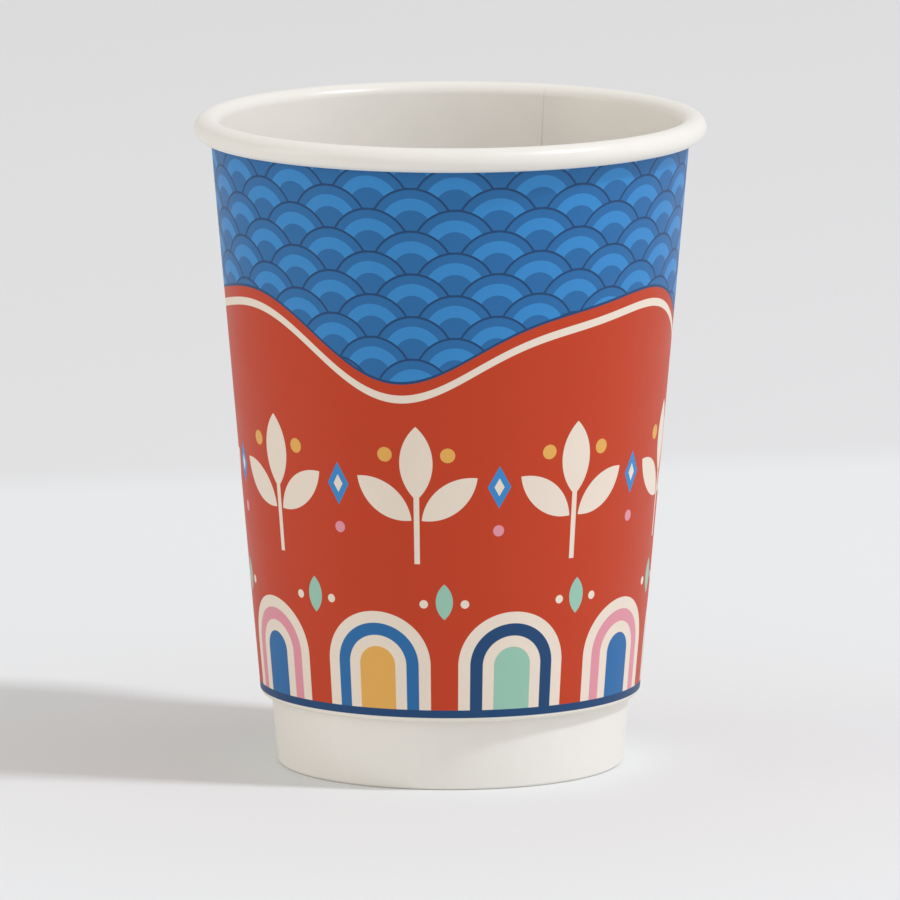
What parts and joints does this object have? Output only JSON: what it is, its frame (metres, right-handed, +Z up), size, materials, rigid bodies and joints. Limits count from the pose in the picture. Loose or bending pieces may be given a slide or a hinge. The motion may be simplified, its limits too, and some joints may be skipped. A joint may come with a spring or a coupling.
{
  "type": "disposable cup",
  "caption": "Double-walled paper cup for hot drinks: tapered inner wall with a rolled rim and folded foot, recessed round base, and a printed outer wall with an air gap.",
  "frame": {"origin": "centre of the foot, on the surface that the cup stands on", "axes": "+Z up along the cup's axis, from the foot to the rim; -Y towards the picture's viewer, with both side seams at the back"},
  "size_m": [0.0899, 0.0898, 0.115],
  "materials": {
    "inner_paper": "satin",
    "base_paper": "satin",
    "printed_paper": "satin"
  },
  "bodies": {
    "root": {"inner_wall": "inner_paper", "base_disc": "base_paper", "outer_wall": "printed_paper"}
  },
  "joints": []
}
